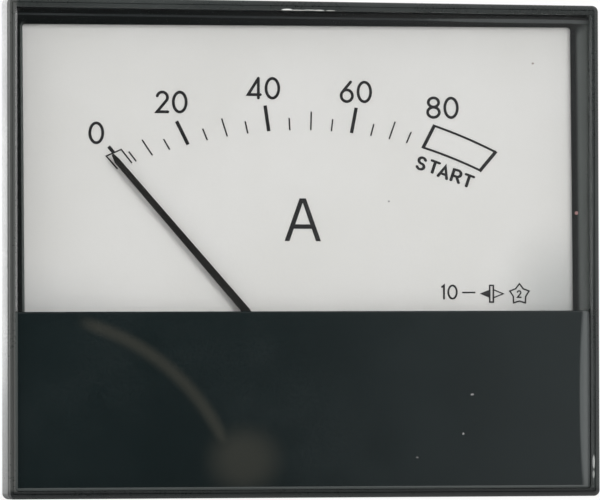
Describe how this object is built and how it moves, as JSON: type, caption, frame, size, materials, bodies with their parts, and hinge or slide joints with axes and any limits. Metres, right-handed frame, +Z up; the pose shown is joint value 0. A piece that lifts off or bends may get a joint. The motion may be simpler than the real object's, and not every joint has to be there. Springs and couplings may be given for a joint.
{
  "type": "analog panel meter",
  "caption": "Rectangular moving-magnet panel ammeter: dial with pointer under a clear window, black mask below, round body with terminal studs behind.",
  "frame": {"origin": "centre of the front, on the flat back face of the case's tray that seats on the panel", "axes": "+Z up the dial, front looks along -Y, +Y points back through the panel cut-out to the terminals, +X to the reader's right"},
  "size_m": [0.08, 0.056, 0.065],
  "materials": {
    "frame_black": "black moulded plastic, satin gloss",
    "window_clear": "clear polished pane with a bevelled edge",
    "mask_black": "polished black plastic",
    "case_black": "black moulded phenolic",
    "stud_steel": "zinc-plated steel",
    "dial_white": "matt off-white paint on aluminium sheet",
    "print_black": "matt black print",
    "plate_nylon": "natural moulded nylon",
    "brass": "turned brass",
    "copper": "plain copper",
    "jewel_red": "synthetic ruby",
    "soft_iron": "annealed soft iron",
    "magnet_grey": "sintered magnet",
    "staff_steel": "hardened polished steel",
    "pointer_black": "matt black painted aluminium",
    "sleeve_white": "soft white sleeving"
  },
  "bodies": {
    "housing": {"front_frame": "frame_black", "window_pane": "window_clear", "lower_mask": "mask_black", "rear_case": "case_black", "fixing_studs": "stud_steel", "dial_plate": "dial_white", "dial_screws": "stud_steel", "scale_marks": "print_black", "movement_plate": "plate_nylon", "plate_screws": "brass", "bridge_pillars": "brass", "front_bridge": "brass", "bridge_screws": "stud_steel", "front_jewel_screw": "brass", "rear_jewel_screw": "brass", "jewel_lock_nuts": "brass", "front_jewel": "jewel_red", "rear_jewel": "jewel_red", "damping_cup": "copper", "shield_ring": "soft_iron", "control_magnet_bar": "magnet_grey", "stop_pins": "staff_steel", "stop_sleeves": "sleeve_white", "conductor_strap": "copper", "terminal_studs": "brass", "terminal_washers": "brass", "terminal_inner_nuts": "brass", "spring_washers": "staff_steel", "terminal_outer_nuts": "brass"},
    "pointer": {"pointer_needle": "pointer_black", "pivot_staff": "staff_steel", "pointer_hub": "brass", "balance_arms": "staff_steel", "balance_weights": "brass", "moving_magnet": "magnet_grey"}
  },
  "joints": [
    {"name": "pointer_swing", "type": "hinge", "parent": "housing", "child": "pointer", "pos_m": [0.0005, 0, -0.01725], "axis": [0, 1, 0], "range_deg": [0, 82.5], "stiffness_Nm_per_rad": 0.0002, "springref_deg": -5.73}
  ]
}
